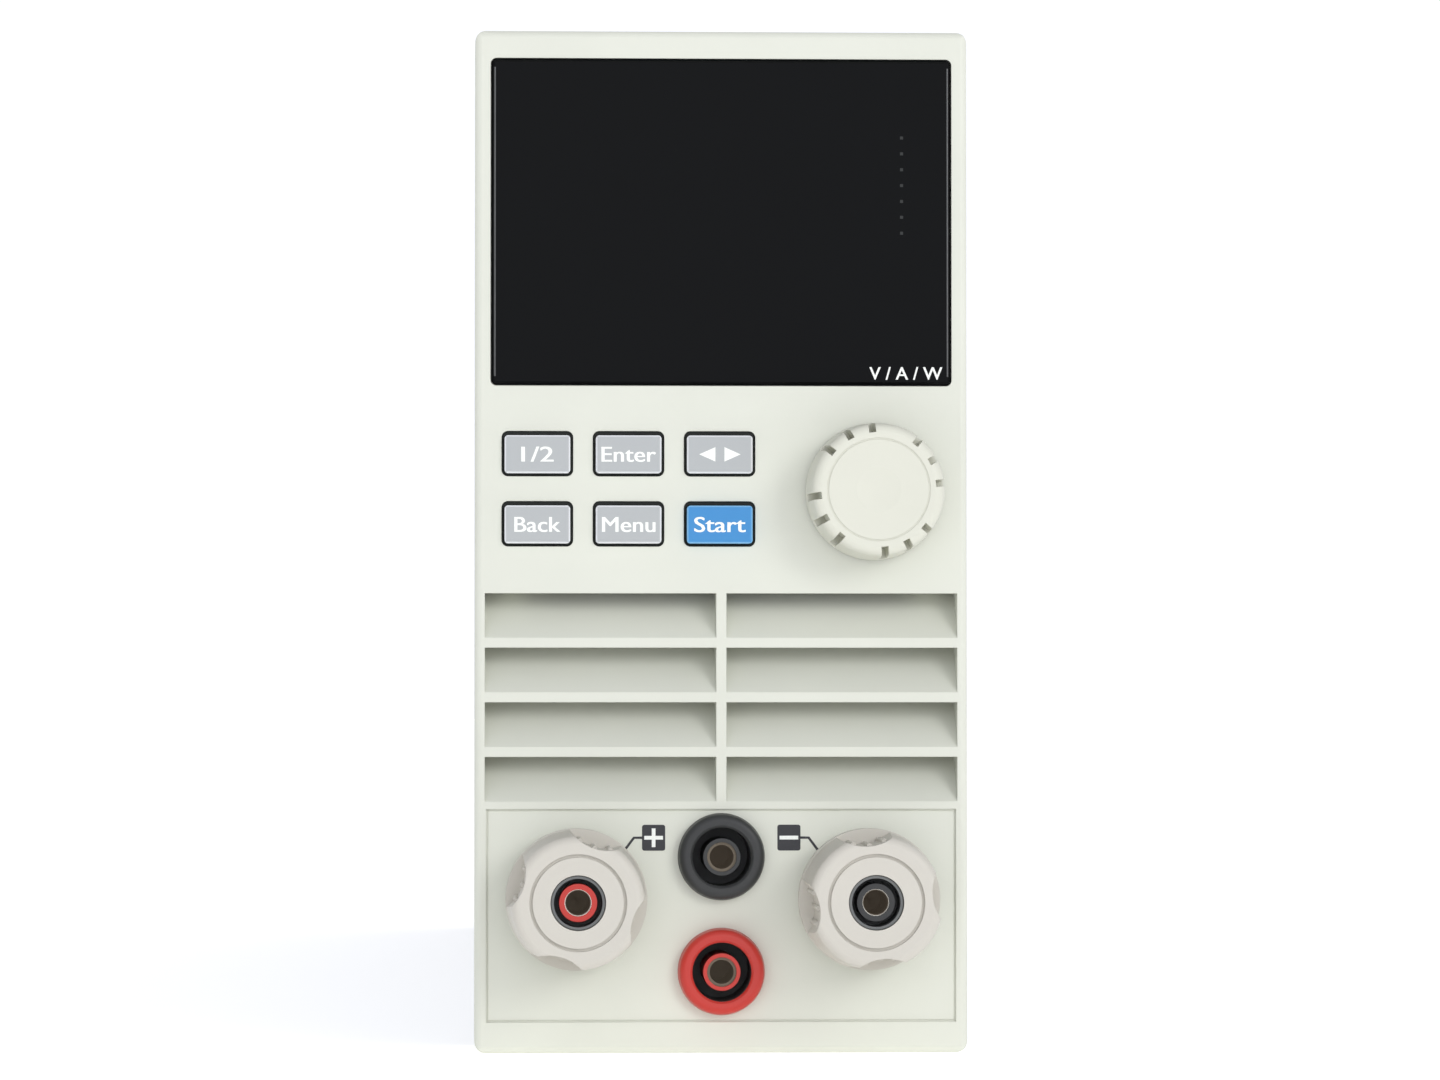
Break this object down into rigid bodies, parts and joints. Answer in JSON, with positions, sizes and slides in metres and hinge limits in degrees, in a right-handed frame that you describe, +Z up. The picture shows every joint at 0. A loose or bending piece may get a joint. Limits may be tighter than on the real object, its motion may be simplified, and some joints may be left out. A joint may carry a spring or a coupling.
{
  "type": "dc electronic load module",
  "caption": "Tall slim plug-in dc load: moulded front panel with display window, keys, dial, louvred inlet, screw-down terminals and sense sockets on a long fan-cooled metal case.",
  "frame": {"origin": "bottom centre of the whole part's box, on the plane that the base pan rests on", "axes": "+Z up, -Y out of the front panel towards the user, +X to the right seen from the front"},
  "size_m": [0.082, 0.573, 0.17],
  "materials": {
    "ivory_plastic": "fine moulded texture",
    "smoked_window": "polished",
    "key_grey": "satin",
    "key_blue": "satin",
    "black_plastic": "satin",
    "black_rubber": "matt",
    "red_plastic": "satin",
    "plated_brass": "nickel plated",
    "zinc_steel": "zinc plated",
    "bright_steel": "plated",
    "dark_steel": "black coated",
    "bare_aluminium": "extruded",
    "copper_bar": "bare",
    "circuit_board": "solder mask",
    "capacitor_sleeve": "shrink sleeve",
    "grey_cable": "satin"
  },
  "bodies": {
    "chassis": {"front_bezel": "ivory_plastic", "terminal_plate": "ivory_plastic", "post_collars": "ivory_plastic", "display_window": "smoked_window", "key_frame": "black_plastic", "post_sleeve_negative": "black_plastic", "post_liners": "black_plastic", "jack_barrels": "black_plastic", "jack_ring_black": "black_plastic", "jack_sleeve_black": "black_plastic", "jack_nuts": "black_plastic", "power_transistors": "black_plastic", "fan_frame": "black_plastic", "backplane_connector": "black_plastic", "display_panel": "black_plastic", "keypad_mat": "black_rubber", "post_sleeve_positive": "red_plastic", "jack_ring_red": "red_plastic", "jack_sleeve_red": "red_plastic", "post_stud_positive": "plated_brass", "post_stud_negative": "plated_brass", "post_nuts": "plated_brass", "jack_contacts": "plated_brass", "encoder_body": "plated_brass", "heatsink_standoffs": "plated_brass", "board_spacers": "plated_brass", "front_bulkhead": "zinc_steel", "base_pan": "zinc_steel", "top_cover": "zinc_steel", "left_side_panel": "zinc_steel", "right_side_panel": "zinc_steel", "rear_panel": "zinc_steel", "bezel_screws": "bright_steel", "case_screws": "bright_steel", "fan_screws": "bright_steel", "guide_pins": "bright_steel", "clinch_nuts": "bright_steel", "fan_guard": "dark_steel", "heatsink_left": "bare_aluminium", "heatsink_right": "bare_aluminium", "busbar_positive": "copper_bar", "busbar_negative": "copper_bar", "control_board": "circuit_board", "power_board": "circuit_board", "capacitors": "capacitor_sleeve", "ribbon_cable": "grey_cable"},
    "dial": {"encoder_shaft": "plated_brass", "dial_knob": "ivory_plastic", "dial_cap": "ivory_plastic"},
    "fan": {"fan_impeller": "black_plastic"},
    "positive_washer": {"post_washer_positive": "plated_brass"},
    "positive_knob": {"post_knob_positive": "ivory_plastic"},
    "negative_washer": {"post_washer_negative": "plated_brass"},
    "negative_knob": {"post_knob_negative": "ivory_plastic"},
    "key_select": {"key_select": "key_grey"},
    "key_short": {"key_short": "key_grey"},
    "key_arrows": {"key_arrows": "key_grey"},
    "key_transient": {"key_transient": "key_grey"},
    "key_mode": {"key_mode": "key_grey"},
    "key_on_off": {"key_on_off": "key_blue"}
  },
  "joints": [
    {"name": "dial_turn", "type": "hinge", "parent": "chassis", "child": "dial", "pos_m": [0.0254, -0.2696, 0.09321], "axis": [0, -1, 0], "continuous": true},
    {"name": "fan_spin", "type": "hinge", "parent": "chassis", "child": "fan", "pos_m": [0, 0.2575, 0.078], "axis": [0, 1, 0], "continuous": true},
    {"name": "positive_washer_slide", "type": "slide", "parent": "chassis", "child": "positive_washer", "axis": [0, -1, 0], "range_m": [0, 0.006]},
    {"name": "positive_knob_turn", "type": "hinge", "parent": "positive_washer", "child": "positive_knob", "pos_m": [-0.0242, -0.2766, 0.0257], "axis": [0, -1, 0], "range_deg": [0, 1440]},
    {"name": "negative_washer_slide", "type": "slide", "parent": "chassis", "child": "negative_washer", "axis": [0, -1, 0], "range_m": [0, 0.006]},
    {"name": "negative_knob_turn", "type": "hinge", "parent": "negative_washer", "child": "negative_knob", "pos_m": [0.0242, -0.2766, 0.0257], "axis": [0, -1, 0], "range_deg": [0, 1440]},
    {"name": "key_select_press", "type": "slide", "parent": "chassis", "child": "key_select", "axis": [0, 1, 0], "range_m": [0, 0.001], "stiffness_N_per_m": 600, "springref_m": -0.0005, "deforming": ["keypad_mat"]},
    {"name": "key_short_press", "type": "slide", "parent": "chassis", "child": "key_short", "axis": [0, 1, 0], "range_m": [0, 0.001], "stiffness_N_per_m": 600, "springref_m": -0.0005, "deforming": ["keypad_mat"]},
    {"name": "key_arrows_press", "type": "slide", "parent": "chassis", "child": "key_arrows", "axis": [0, 1, 0], "range_m": [0, 0.001], "stiffness_N_per_m": 600, "springref_m": -0.0005, "deforming": ["keypad_mat"]},
    {"name": "key_transient_press", "type": "slide", "parent": "chassis", "child": "key_transient", "axis": [0, 1, 0], "range_m": [0, 0.001], "stiffness_N_per_m": 600, "springref_m": -0.0005, "deforming": ["keypad_mat"]},
    {"name": "key_mode_press", "type": "slide", "parent": "chassis", "child": "key_mode", "axis": [0, 1, 0], "range_m": [0, 0.001], "stiffness_N_per_m": 600, "springref_m": -0.0005, "deforming": ["keypad_mat"]},
    {"name": "key_on_off_press", "type": "slide", "parent": "chassis", "child": "key_on_off", "axis": [0, 1, 0], "range_m": [0, 0.001], "stiffness_N_per_m": 600, "springref_m": -0.0005, "deforming": ["keypad_mat"]}
  ],
  "couplings": [
    {"joint": "positive_knob_turn", "follows": "positive_washer_slide", "rad_per_m": 4188.8},
    {"joint": "negative_knob_turn", "follows": "negative_washer_slide", "rad_per_m": 4188.8}
  ]
}
